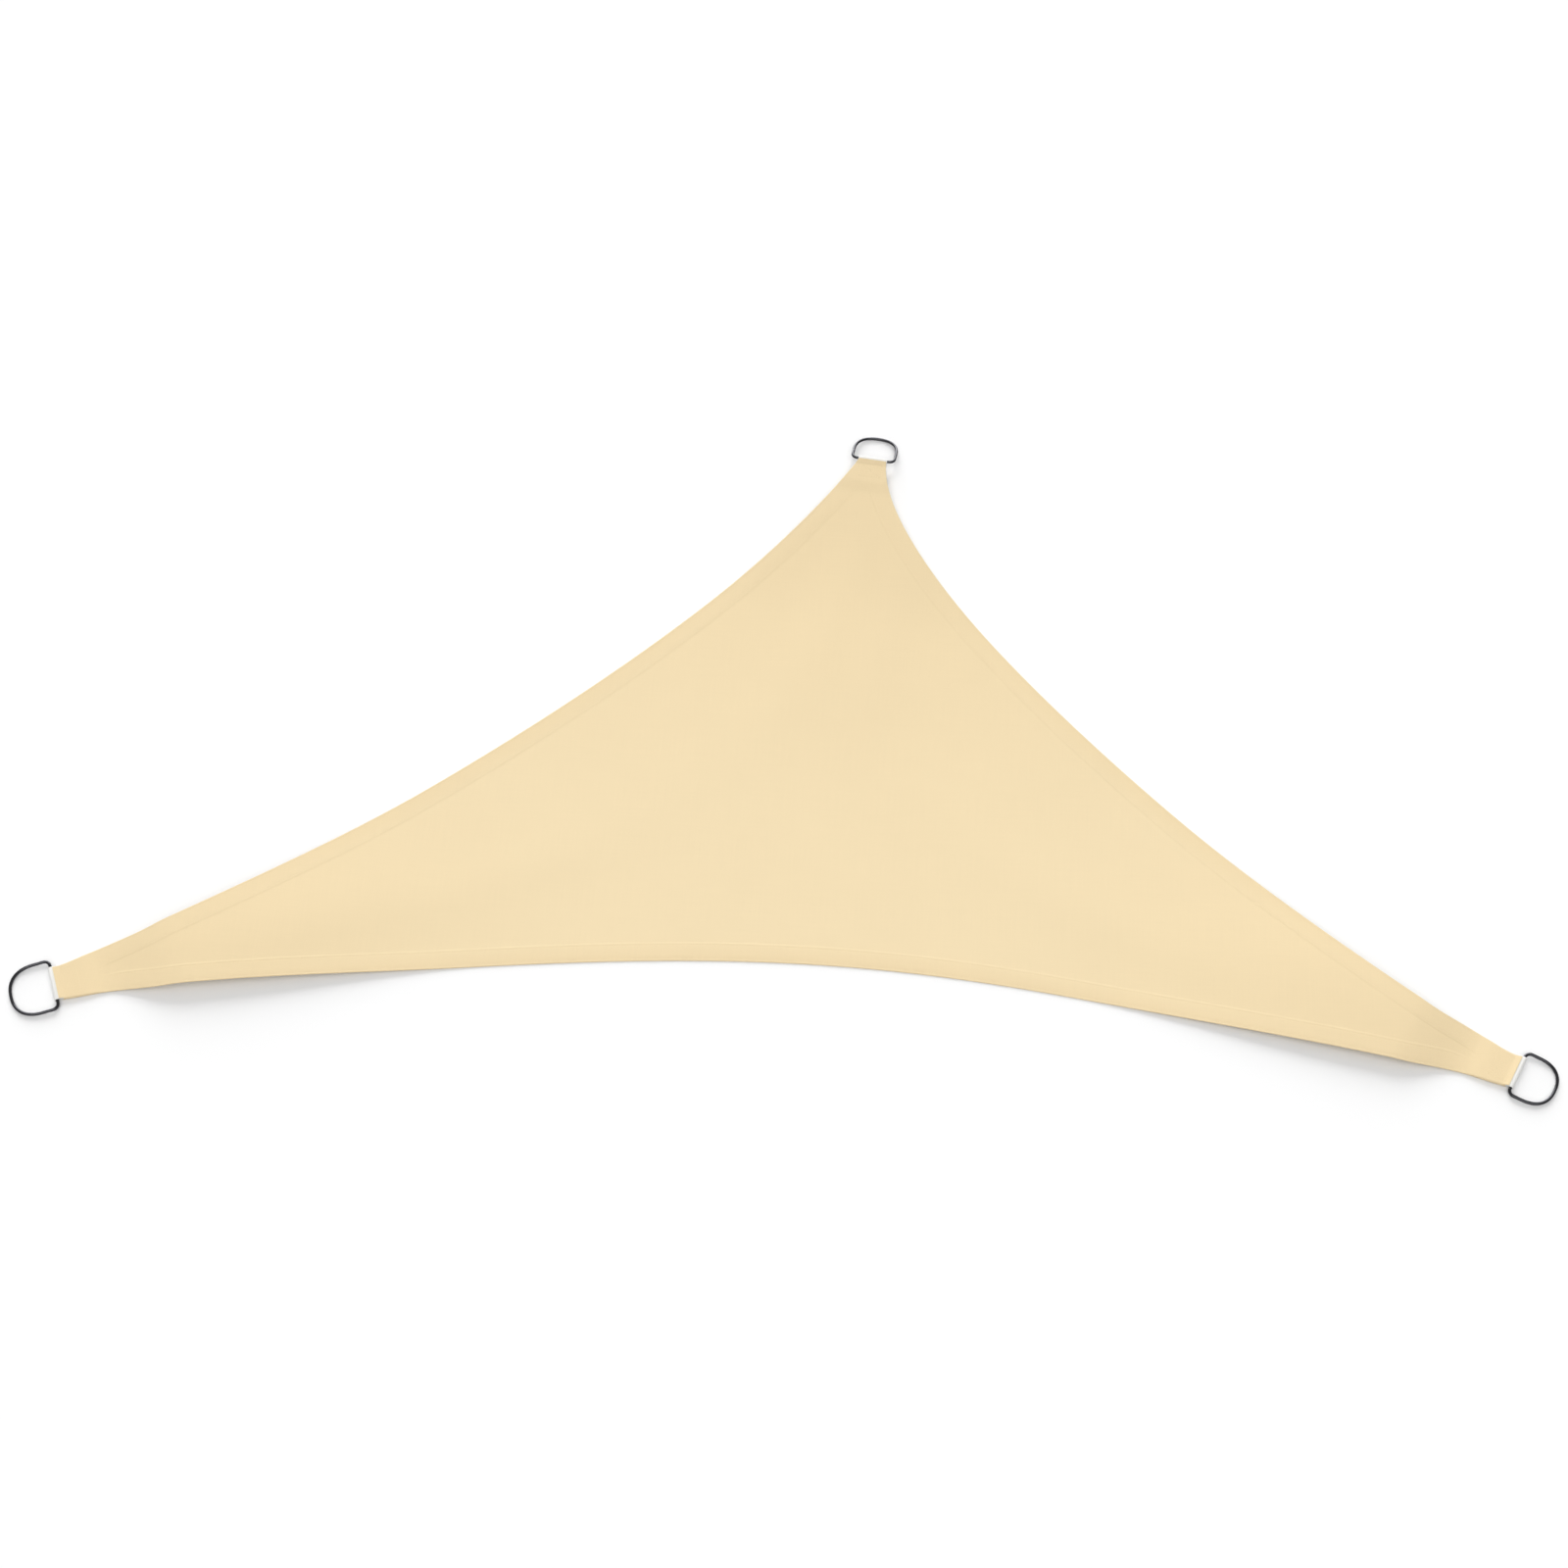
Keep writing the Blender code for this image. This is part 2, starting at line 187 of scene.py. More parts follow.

# Soft unevenness of cloth lying on a floor. Each row is a low
# swell: its middle, the way it runs, its length, width and height.
Swell = namedtuple("Swell", "x y along_deg length width height")
SWELLS = (
    Swell(-0.62, -0.42, 24.0, 0.34, 0.055, 0.0012),
    Swell(0.66, -0.44, -27.0, 0.30, 0.050, 0.0011),
    Swell(0.15, 0.20, 82.0, 0.24, 0.040, 0.0016),
    Swell(-0.02, 0.12, 70.0, 0.20, 0.045, 0.0010),
    Swell(0.30, -0.20, 140.0, 0.26, 0.080, 0.0009),
    Swell(-0.28, -0.18, 35.0, 0.28, 0.075, 0.0010),
)

CLOTH_COLOUR = (0.808, 0.659, 0.414)
# A darker cloth colour: painted shade on the cloth and in the thread's twist, and the tint of
# the webbing's soiling.
SHADE_AND_SOILING_COLOUR = (0.782, 0.627, 0.383)
THREAD_COLOUR = (0.82, 0.67, 0.43)
WEBBING_COLOUR = (0.86, 0.86, 0.84)
# The polished steel's colour, painted near-black as a reflection of dark surroundings.
STEEL_PAINTED_DARK_COLOUR = (0.055, 0.055, 0.060)
FLOOR_COLOUR = (0.875, 0.875, 0.875)
FLOOR_HALF_SIDE = 40.0
FLOOR_DROP = 0.0001  # keeps the floor clear of the cloth that lies on it
BACKDROP_FADE = (0.10, 0.15)  # full and gone at these heights in the sky, as sines


# --- Where things are --------------------------------------------------------


def direction(degrees):
    angle = math.radians(degrees)
    return np.array([math.cos(angle), math.sin(angle)])


def across_of(corner):
    """Along the corner's cut, to the left when facing outwards."""
    out = direction(corner.outward_deg)
    return np.array([-out[1], out[0]])


def corner_named(name):
    return next(corner for corner in CORNERS if corner.name == name)


def smooth_step(share):
    share = np.clip(share, 0.0, 1.0)
    return share * share * (3 - 2 * share)


def strap_half_height(distance):
    """Half the loop's outer height at this distance behind the bar's centre."""
    closing = STRAP_OUTER_RADIUS - distance * math.sin(STRAP_CLOSING_ANGLE)
    return np.maximum(closing / math.cos(STRAP_CLOSING_ANGLE), STRAP_THICKNESS)


def bar_height(corner):
    """Unlifted, the cloth's cut end rests on the surface."""
    arch = ARCHES[corner.name]
    resting = float(strap_half_height(CUT_SETBACK)) + GAP + PLY_THICKNESS
    return resting - arch.start_slope * CUT_SETBACK + arch.lift


def cut_end(corner, side):
    """An end of the cloth's cut, side +1 to the left when facing outwards."""
    bar = np.array([corner.x, corner.y])
    back = CUT_SETBACK * direction(corner.outward_deg)
    return bar - back + side * corner.cut_width / 2 * across_of(corner)


def smooth_between(near, far, near_slope, span, share):
    """A cubic from near to far that leaves at near_slope and arrives level."""
    a = 2 * share**3 - 3 * share**2 + 1
    b = share**3 - 2 * share**2 + share
    c = 3 * share**2 - 2 * share**3
    return a * near + b * near_slope * span + c * far


def from_bar(corner, points):
    """How far the points are behind the bar, and how far off the corner's axis."""
    offset = np.array([corner.x, corner.y]) - points
    out = direction(corner.outward_deg)
    distance = offset @ out
    off_axis = offset[..., 0] * out[1] - offset[..., 1] * out[0]
    return distance, off_axis


def sideways(corner, points):
    """How far a corner's strip bows to one side at these points."""
    distance, _ = from_bar(corner, points)
    share = np.clip(distance / SWAY_LENGTH, 0.0, 1.0)
    bow = ARCHES[corner.name].sway * np.sin(math.pi * share) ** 2
    return bow[..., None] * across_of(corner)


def arch_height(corner, distance):
    """How one corner carries the middle of the cloth's thickness."""
    arch = ARCHES[corner.name]
    flat = CLOTH_THICKNESS / 2
    straight = bar_height(corner) + arch.start_slope * distance
    start = bar_height(corner) + arch.start_slope * PLIES_JOINED_AT
    rise_span = arch.crest_at - PLIES_JOINED_AT
    rise = smooth_between(
        start,
        arch.crest_height,
        arch.start_slope,
        rise_span,
        (distance - PLIES_JOINED_AT) / rise_span,
    )
    fall_span = arch.flat_at - arch.crest_at
    fall_share = np.clip((distance - arch.crest_at) / fall_span, 0.0, 1.0)
    fall = smooth_between(arch.crest_height, flat, 0.0, fall_span, fall_share)
    height = np.where(distance < arch.crest_at, rise, fall)
    return np.where(distance < PLIES_JOINED_AT, straight, height)


def fold_height(corner, distance, off_axis):
    """A soft fold that starts where the plies join and fans out from the corner."""
    arch = ARCHES[corner.name]
    fold_end = arch.flat_at + arch.crest_at
    share = (distance - PLIES_JOIN_FROM) / (fold_end - PLIES_JOIN_FROM)
    spread = FOLD_SPREAD_AT_CORNER + FOLD_SPREAD_PER_METRE * distance
    along = np.sin(math.pi * np.clip(share, 0.0, 1.0)) ** 2
    return arch.fold_height * along * np.exp(-((off_axis / spread) ** 2))


def swell_height(points):
    """What the low swells add, all of them together."""
    total = np.zeros(points.shape[:-1])
    for swell in SWELLS:
        offset = points - np.array([swell.x, swell.y])
        along = direction(swell.along_deg)
        run = offset @ along
        aside = offset @ np.array([-along[1], along[0]])
        reach = (run / swell.length) ** 2 + (aside / swell.width) ** 2
        total += swell.height * np.exp(-reach)
    return total


def half_thickness(distance):
    """The plies close over the webbing, then taper into the plain cloth."""
    closed = strap_half_height(distance) + GAP + PLY_THICKNESS
    span = PLIES_JOINED_AT - PLIES_JOIN_FROM
    share = np.clip((distance - PLIES_JOIN_FROM) / span, 0.0, 1.0)
    return closed + (CLOTH_THICKNESS / 2 - closed) * share


# --- The outline -------------------------------------------------------------


class EdgeLine:
    """One edge of the panel, as points and inward directions by share of length."""

    def __init__(self, edge):
        self.start, self.end = corner_named(edge.start), corner_named(edge.end)
        first, last = cut_end(self.start, 1), cut_end(self.end, -1)
        leave = first + edge.leave_pull * direction(edge.leave_deg)
        arrive = last + edge.arrive_pull * direction(edge.arrive_deg)
        t = np.linspace(0.0, 1.0, EDGE_SAMPLES)[:, None]
        self.points = (
            (1 - t) ** 3 * first
            + 3 * (1 - t) ** 2 * t * leave
            + 3 * (1 - t) * t**2 * arrive
            + t**3 * last
        )
        for corner in (self.start, self.end):
            self.points += sideways(corner, self.points)
        steps = np.linalg.norm(np.diff(self.points, axis=0), axis=1)
        run = np.concatenate([[0.0], np.cumsum(steps)])
        self.length = run[-1]
        self.shares = run / self.length
        tangents = np.gradient(self.points, run, axis=0)
        normals = np.column_stack([-tangents[:, 1], tangents[:, 0]])
        near_start = smooth_step(run / BAND_SWING)[:, None]
        near_end = smooth_step((self.length - run) / BAND_SWING)[:, None]
        inward = -across_of(self.start) * (1 - near_start) + normals * near_start
        inward = across_of(self.end) * (1 - near_end) + inward * near_end
        self.inward = inward / np.linalg.norm(inward, axis=1)[:, None]

    def read(self, table, share):
        return np.stack([np.interp(share, self.shares, table[:, i]) for i in (0, 1)], -1)

    def at(self, share):
        return self.read(self.points, share)

    def inward_at(self, share):
        return self.read(self.inward, share)


class Arm:
    """The third of the panel that belongs to one corner.

    share runs from the corner's cut, at 0, to the bent line that the three
    arms share, at 1. Sides are named as seen when facing outwards.
    """

    def __init__(self, corner, lines):
        self.corner = corner
        self.leaving = next(line for line in lines if line.start == corner)
        self.arriving = next(line for line in lines if line.end == corner)

    def side(self, side, share):
        """The edge's point and inward direction, side +1 on the left."""
        line = self.leaving if side > 0 else self.arriving
        where = share / 2 if side > 0 else 1 - share / 2
        return line.at(where), line.inward_at(where)

    def band_width(self, share):
        left, _ = self.side(1, share)
        right, _ = self.side(-1, share)
        width = np.linalg.norm(left - right, axis=-1)
        return np.minimum(HEM_BAND, BAND_SHARE * width)

    def band(self, side, share, offset):
        """A point in the strip along one edge, and its distance from the edge."""
        point, inward = self.side(side, share)
        distance = offset * self.band_width(share) / HEM_BAND
        return point + inward * distance[..., None], distance

    def panel(self, share, across):
        """A point between the two bands, across from 0 on the right to 1."""
        right, _ = self.band(-1, share, HEM_BAND)
        left, _ = self.band(1, share, HEM_BAND)
        right_middle, _ = self.band(-1, np.ones_like(share), HEM_BAND)
        left_middle, _ = self.band(1, np.ones_like(share), HEM_BAND)
        a = across[..., None]
        to_centre = right_middle + (PANEL_CENTRE - right_middle) * 2 * a
        from_centre = PANEL_CENTRE + (left_middle - PANEL_CENTRE) * (2 * a - 1)
        bent = np.where(a < 0.5, to_centre, from_centre)
        straight = right_middle + (left_middle - right_middle) * a
        return right + (left - right) * a + share[..., None] * (bent - straight)


def seam_dip(offset):
    """How far the stitch rows draw the hem in."""
    rows = [np.exp(-(((offset - row) / SEAM_HALF_WIDTH) ** 2)) for row in STITCH_ROWS]
    return SEAM_DIP * sum(rows)


def middle_height(points):
    """Height of the middle of the cloth's thickness, anywhere on the panel."""
    flat = CLOTH_THICKNESS / 2
    height = flat + swell_height(points)
    for corner in CORNERS:
        distance, off_axis = from_bar(corner, points)
        height += arch_height(corner, distance) - flat
        height += fold_height(corner, distance, off_axis)
    return height


def cloth_surfaces(corner, points, offset, edge_distance):
    """Heights of the cloth's top and underside.

    offset is the place across the band before it narrows towards a corner, and
    edge_distance the true distance from the edge.
    """
    distance, _ = from_bar(corner, points)
    middle = middle_height(points)
    half = half_thickness(distance)
    plain = smooth_step((distance - PLIES_JOIN_FROM) / HEM_FADES_IN_OVER)
    inner = smooth_step((offset - HEM_WIDTH) / HEM_STEP_WIDTH + 1)
    thinner = (CLOTH_THICKNESS - SINGLE_LAYER) * inner * plain
    inside = np.clip(1 - edge_distance / EDGE_RADIUS, 0.0, 1.0)
    roundness = np.sqrt(1 - inside**2)
    top = middle + half * roundness - thinner - seam_dip(offset) * plain
    underside = middle - half * roundness
    return top, underside


# --- Materials ---------------------------------------------------------------

WAVE_PERIOD = 2 * math.pi / 20  # of Blender's Wave texture at scale 1


def new_material(name, roughness, metallic=0.0, specular=0.5, sheen=0.0):
    """A material with its node tree and its shader."""
    material = bpy.data.materials.new(name)
    material.use_nodes = True
    tree = material.node_tree
    shader = tree.nodes["Principled BSDF"]
    shader.inputs["Roughness"].default_value = roughness
    shader.inputs["Metallic"].default_value = metallic
    shader.inputs["Specular IOR Level"].default_value = specular
    shader.inputs["Sheen Weight"].default_value = sheen
    shader.inputs["Sheen Roughness"].default_value = 0.5
    return material, tree, shader


def add_node(tree, kind, inputs=(), **settings):
    """A node with its settings and inputs, each a value or another's output."""
    node = tree.nodes.new(kind)
    for name, value in settings.items():
        setattr(node, name, value)
    for name, value in dict(inputs).items():
        if isinstance(value, bpy.types.NodeSocket):
            tree.links.new(value, node.inputs[name])
        else:
            node.inputs[name].default_value = value
    return node


def combine(tree, operation, first, second):
    """Applies a Math node's operation to two values or outputs."""
    node = add_node(tree, "ShaderNodeMath", {0: first, 1: second}, operation=operation)
    return node.outputs[0]


def ranged(tree, value, low, high):
    """Maps 0 to 1 onto low to high."""
    inputs = {"Value": value, "To Min": low, "To Max": high}
    return add_node(tree, "ShaderNodeMapRange", inputs).outputs["Result"]


def mixed(tree, factor, first, second, blend="MIX"):
    """Mixes two colours, each a triple or another node's output."""
    node = add_node(tree, "ShaderNodeMix", data_type="RGBA", blend_type=blend)
    for index, value in ((0, factor), (6, first), (7, second)):
        if isinstance(value, bpy.types.NodeSocket):
            tree.links.new(value, node.inputs[index])
        else:
            node.inputs[index].default_value = (*value, 1.0) if index else value
    return node.outputs[2]


def bands(tree, coordinates, along, period, distortion=0.0):
    """Soft stripes, 0 to 1, that follow one another at this period, in metres."""
    inputs = {
        "Vector": coordinates,
        "Scale": WAVE_PERIOD / period,
        "Distortion": distortion,
        "Detail": 1.0,
        "Detail Scale": 1.5,
    }
    node = add_node(
        tree, "ShaderNodeTexWave", inputs, wave_type="BANDS", bands_direction=along
    )
    return node.outputs["Fac"]


def noise(tree, coordinates, size, detail=2.0):
    """Noise with features of about this size, in metres."""
    inputs = {"Vector": coordinates, "Scale": 1 / size, "Detail": detail}
    return add_node(tree, "ShaderNodeTexNoise", inputs).outputs["Fac"]


def scaled(tree, coordinates, scale):
    inputs = {"Vector": coordinates, "Scale": scale}
    return add_node(tree, "ShaderNodeMapping", inputs).outputs["Vector"]


def bump(tree, shader, height, strength, depth):
    inputs = {"Height": height, "Strength": strength, "Distance": depth}
    node = add_node(tree, "ShaderNodeBump", inputs)
    tree.links.new(node.outputs["Normal"], shader.inputs["Normal"])


def object_coordinates(tree):
    return add_node(tree, "ShaderNodeTexCoord").outputs["Object"]


def plain_weave(tree, coordinates, pitch):
    """Yarns this far apart, each passing over one and under the next."""
    warp, weft = (bands(tree, coordinates, along, pitch) for along in "XY")
    columns, rows = (bands(tree, coordinates, along, 2 * pitch) for along in "XY")
    both = combine(tree, "MULTIPLY", columns, rows)
    neither = combine(
        tree, "MULTIPLY", ranged(tree, columns, 1.0, 0.0), ranged(tree, rows, 1.0, 0.0)
    )
    warp_on_top = combine(tree, "ADD", both, neither)
    weft_on_top = ranged(tree, warp_on_top, 1.0, 0.0)
    return combine(
        tree,
        "ADD",
        combine(tree, "MULTIPLY", warp, warp_on_top),
        combine(tree, "MULTIPLY", weft, weft_on_top),
    )


def cloth_material():
    """Plain-woven polyester, with slubs in its yarns, a slightly uneven dye, and painted shade
    between its yarns and towards its edges and corners.
    """
    material, tree, shader = new_material("sand_cloth", 0.84, specular=0.25, sheen=0.12)
    where = object_coordinates(tree)
    weave = plain_weave(tree, where, CLOTH_YARN_PITCH)
    along_x = scaled(tree, where, (1.0, SLUB_STRETCH, 1.0))
    along_y = scaled(tree, where, (SLUB_STRETCH, 1.0, 1.0))
    weft_slubs, warp_slubs = (noise(tree, at, SLUB_LENGTH) for at in (along_x, along_y))
    cloudy = noise(tree, where, DYE_CLOUD_SIZE, detail=3.0)
    # Painted shade: darker towards the edges and corners, through the layers mask.
    layers = add_node(tree, "ShaderNodeAttribute", attribute_name="layers")
    colour = mixed(tree, layers.outputs["Fac"], CLOTH_COLOUR, SHADE_AND_SOILING_COLOUR)
    # Painted shade between the yarns of the weave, times the real slubs and uneven dye.
    weave_shade_and_dye = ranged(tree, weave, 0.94, 1.03)
    for unevenness in (weft_slubs, warp_slubs, cloudy):
        weave_shade_and_dye = combine(tree, "MULTIPLY", weave_shade_and_dye, ranged(tree, unevenness, 0.985, 1.015))
    grey = add_node(tree, "ShaderNodeCombineColor", {0: weave_shade_and_dye, 1: weave_shade_and_dye, 2: weave_shade_and_dye})
    colour = mixed(tree, 1.0, colour, grey.outputs[0], "MULTIPLY")
    tree.links.new(colour, shader.inputs["Base Color"])
    bump(tree, shader, weave, 0.5, depth=0.0002)
    return material


def thread_material():
    """Twisted sewing thread in the cloth's colour, with painted shade between its twisted
    plies.
    """
    material, tree, shader = new_material("sewing_thread", 0.55, specular=0.35, sheen=0.1)
    where = object_coordinates(tree)
    twist = bands(tree, where, "DIAGONAL", THREAD_TWIST_PITCH)
    # Painted shade in the grooves of the twist.
    colour = mixed(tree, ranged(tree, twist, 0.0, 0.35), THREAD_COLOUR, SHADE_AND_SOILING_COLOUR)
    tree.links.new(colour, shader.inputs["Base Color"])
    bump(tree, shader, twist, 0.4, depth=0.0001)
    return material


def webbing_material():
    """White woven webbing: ribs along the strap, crossed by the weft, with painted shade in the
    hollows of its weave and light soiling.
    """
    material, tree, shader = new_material("white_webbing", 0.72, specular=0.3, sheen=0.15)
    where = add_node(tree, "ShaderNodeUVMap", uv_map="strap").outputs["UV"]
    ribs = bands(tree, where, "Y", WEBBING_RIB_PITCH, distortion=0.2)
    weft = bands(tree, where, "X", WEBBING_WEFT_PITCH, distortion=0.3)
    weave = combine(tree, "MULTIPLY", ranged(tree, ribs, 0.35, 1.0), weft)
    # Painted shade: the weave's hollows are drawn darker.
    shaded_hollows = tuple(0.80 * channel for channel in WEBBING_COLOUR)
    colour = mixed(tree, ranged(tree, weave, 0.3, 1.0), shaded_hollows, WEBBING_COLOUR)
    soiled = noise(tree, object_coordinates(tree), SOILING_SIZE, detail=4.0)
    colour = mixed(tree, ranged(tree, soiled, 0.0, 0.06), colour, SHADE_AND_SOILING_COLOUR)
    tree.links.new(colour, shader.inputs["Base Color"])
    bump(tree, shader, weave, 0.5, depth=0.0004)
    return material


def steel_material():
    """Polished wire painted near-black as a reflection of dark surroundings, with fine drawing
    marks and worn, brighter spots.
    """
    material, tree, shader = new_material("steel_painted_dark", 0.16, metallic=1.0)
    where = object_coordinates(tree)
    flattened = scaled(tree, where, (1.0, 1.0, WIRE_MARK_STRETCH))
    marks = noise(tree, flattened, WIRE_MARK_SIZE, detail=3.0)
    worn = noise(tree, where, WIRE_WEAR_SIZE, detail=4.0)
    worn_steel = tuple(1.5 * channel for channel in STEEL_PAINTED_DARK_COLOUR)
    colour = mixed(tree, ranged(tree, worn, -0.3, 0.7), STEEL_PAINTED_DARK_COLOUR, worn_steel)
    tree.links.new(colour, shader.inputs["Base Color"])
    roughness = combine(
        tree, "ADD", ranged(tree, marks, 0.08, 0.18), ranged(tree, worn, -0.03, 0.07)
    )
    tree.links.new(roughness, shader.inputs["Roughness"])
    bump(tree, shader, marks, 0.06, depth=0.0001)
    return material


def floor_material():
    material, _, shader = new_material("studio_floor", 0.9, specular=0.1)
    shader.inputs["Base Color"].default_value = (*FLOOR_COLOUR, 1.0)
    return material


# --- Meshes ------------------------------------------------------------------


def new_object(name, mesh, material):
    mesh.materials.append(material)
    obj = bpy.data.objects.new(name, mesh)
    bpy.context.scene.collection.objects.link(obj)
    return obj


def grid_faces(rows, columns):
    """Quads between the points of a grid whose rows lie one after another."""
    first = np.arange(rows - 1)[:, None] * columns + np.arange(columns - 1)[None]
    corners = (first, first + 1, first + columns + 1, first + columns)
    return np.stack([corner.ravel() for corner in corners], axis=1)


def arm_points(arm):
    """Plan points of one arm's grid, with each one's place in the edge bands."""
    shares = np.linspace(0.0, 1.0, ARM_ROWS) ** ROW_CROWDING
    share, offset = np.meshgrid(shares, BAND_COLUMNS, indexing="ij")
    right, right_distance = arm.band(-1, share, offset)
    left, left_distance = arm.band(1, share, offset)
    inner_columns = np.linspace(0.0, 1.0, PANEL_COLUMNS + 1)[1:-1]
    panel = arm.panel(*np.meshgrid(shares, inner_columns, indexing="ij"))
    inside = np.full(panel.shape[:2], HEM_BAND)
    points = np.concatenate([right, panel, left[:, ::-1]], axis=1)
    offsets = np.concatenate([offset, inside, offset[:, ::-1]], axis=1)
    distance = np.concatenate([right_distance, inside, left_distance[:, ::-1]], axis=1)
    return points, offsets, distance


def add_arm(cloth, arm):
    """Adds the top and underside of one arm, joined along its edges and cut."""
    points, offsets, edge_distance = arm_points(arm)
    top, underside = cloth_surfaces(arm.corner, points, offsets, edge_distance)
    rows, columns = offsets.shape
    upper = np.concatenate([points, top[..., None]], axis=-1).reshape(-1, 3)
    lower = np.concatenate([points, underside[..., None]], axis=-1).reshape(-1, 3)
    above = [cloth.verts.new(point) for point in upper]
    below = [
        above[i] if i % columns in (0, columns - 1) else cloth.verts.new(point)
        for i, point in enumerate(lower)
    ]
    for a, b, c, d in grid_faces(rows, columns):
        cloth.faces.new((above[a], above[b], above[c], above[d]))
        cloth.faces.new((below[d], below[c], below[b], below[a]))
    for i in range(columns - 1):
        corners = (above[i], below[i], below[i + 1], above[i + 1])
        cloth.faces.new(list(dict.fromkeys(corners)))


def strap_path(radius, tail_half_height, arc_steps):
    """The strap's course in side view: x back from the bar, y up."""
    start = math.pi / 2 - STRAP_CLOSING_ANGLE
    angles = np.linspace(start, 2 * math.pi - start, arc_steps + 1)
    arc = radius * np.column_stack([np.cos(angles), np.sin(angles)])
    straight = radius - tail_half_height * math.cos(STRAP_CLOSING_ANGLE)
    closed_at = straight / math.sin(STRAP_CLOSING_ANGLE)
    tail = np.array([[STRAP_TAIL_END, 1.0], [closed_at, 1.0]])
    upper = tail * (1.0, tail_half_height)
    lower = tail[::-1] * (1.0, -tail_half_height)
    return np.concatenate([upper, arc, lower])


def strap_matrix(corner):
    """Places a side view: its x back along the cloth, its y up, its depth level."""
    pitch = math.atan(ARCHES[corner.name].start_slope)
    back = Vector((-math.cos(pitch), 0.0, math.sin(pitch)))
    up = Vector((math.sin(pitch), 0.0, math.cos(pitch)))
    level = back.cross(up)
    return Matrix((back, up, level)).transposed().to_4x4()


def corner_matrix(corner):
    """The middle of the bar, with X pointing outwards."""
    at = Matrix.Translation((corner.x, corner.y, bar_height(corner)))
    return at @ Matrix.Rotation(math.radians(corner.outward_deg), 4, "Z")


def pocket_cutter(corner):
    """The space round the strap and its bar, open past the cloth's cut end."""
    outline = strap_path(STRAP_OUTER_RADIUS + GAP, STRAP_THICKNESS + GAP, POCKET_ARC_STEPS)
    outline[[0, -1], 0] += GAP
    half = corner.strap_width / 2 + GAP
    cutter = bmesh.new()
    sides = [
        [cutter.verts.new((x, y, depth)) for x, y in outline] for depth in (-half, half)
    ]
    count = len(outline)
    cutter.faces.new(sides[0])
    cutter.faces.new(sides[1][::-1])
    for i in range(count):
        j = (i + 1) % count
        cutter.faces.new((sides[0][i], sides[1][i], sides[1][j], sides[0][j]))
    bmesh.ops.recalc_face_normals(cutter, faces=cutter.faces[:])
    mesh = bpy.data.meshes.new("pocket")
    cutter.to_mesh(mesh)
    cutter.free()
    obj = bpy.data.objects.new(f"pocket_{corner.name}", mesh)
    obj.matrix_world = corner_matrix(corner) @ strap_matrix(corner)
    bpy.context.scene.collection.objects.link(obj)
    return obj


def applied(obj):
    """Replaces the object's mesh with what its modifiers make of it."""
    graph = bpy.context.evaluated_depsgraph_get()
    mesh = bpy.data.meshes.new_from_object(obj.evaluated_get(graph))
    obj.modifiers.clear()
    obj.data = mesh


def painted_shade_density(points):
    """Painted shade, 1 darkest: along the edges, where cloth lies over cloth, and near the
    corners, fading over a metre; 0 in the open panel.
    """
    lines = [EdgeLine(edge) for edge in EDGES]
    outline = np.concatenate([line.points for line in lines])
    nearest = np.full(len(points), np.inf)
    for part in np.array_split(np.arange(len(points)), DISTANCE_BATCHES):
        gaps = points[part, None] - outline[None]
        nearest[part] = np.sqrt((gaps**2).sum(-1).min(-1))
    density = 1 - smooth_step(nearest / EDGE_SHADE_FADE)
    for corner in CORNERS:
        distance, _ = from_bar(corner, points)
        near = 1 - smooth_step((distance - CORNER_SHADE_FROM) / CORNER_SHADE_FADE)
        density = np.maximum(density, near)
    return density


def build_cloth(material):
    """The hemmed panel, with a pocket for each corner's strap and bar."""
    lines = [EdgeLine(edge) for edge in EDGES]
    cloth = bmesh.new()
    for corner in CORNERS:
        add_arm(cloth, Arm(corner, lines))
    bmesh.ops.remove_doubles(cloth, verts=cloth.verts[:], dist=WELD_DISTANCE)
    bmesh.ops.recalc_face_normals(cloth, faces=cloth.faces[:])
    mesh = bpy.data.meshes.new("sail_panel")
    cloth.to_mesh(mesh)
    cloth.free()
    obj = new_object("sail_panel", mesh, material)
    cutters = [pocket_cutter(corner) for corner in CORNERS]
    for cutter in cutters:
        pocket = obj.modifiers.new(cutter.name, "BOOLEAN")
        pocket.operation = "DIFFERENCE"
        pocket.solver = "EXACT"
        pocket.object = cutter
    applied(obj)
    for cutter in cutters:
        bpy.data.objects.remove(cutter)
    obj.data.shade_smooth()
    obj.data.set_sharp_from_angle(angle=SHARP_ANGLE)
    points = np.empty(len(obj.data.vertices) * 3)
    obj.data.vertices.foreach_get("co", points)
    # The layers attribute is the painted shade mask: the cloth is drawn darker towards its
    # edges and corners.
    layers = obj.data.attributes.new("layers", "FLOAT", "POINT")
    layers.data.foreach_set("value", painted_shade_density(points.reshape(-1, 3)[:, :2]))
    return obj


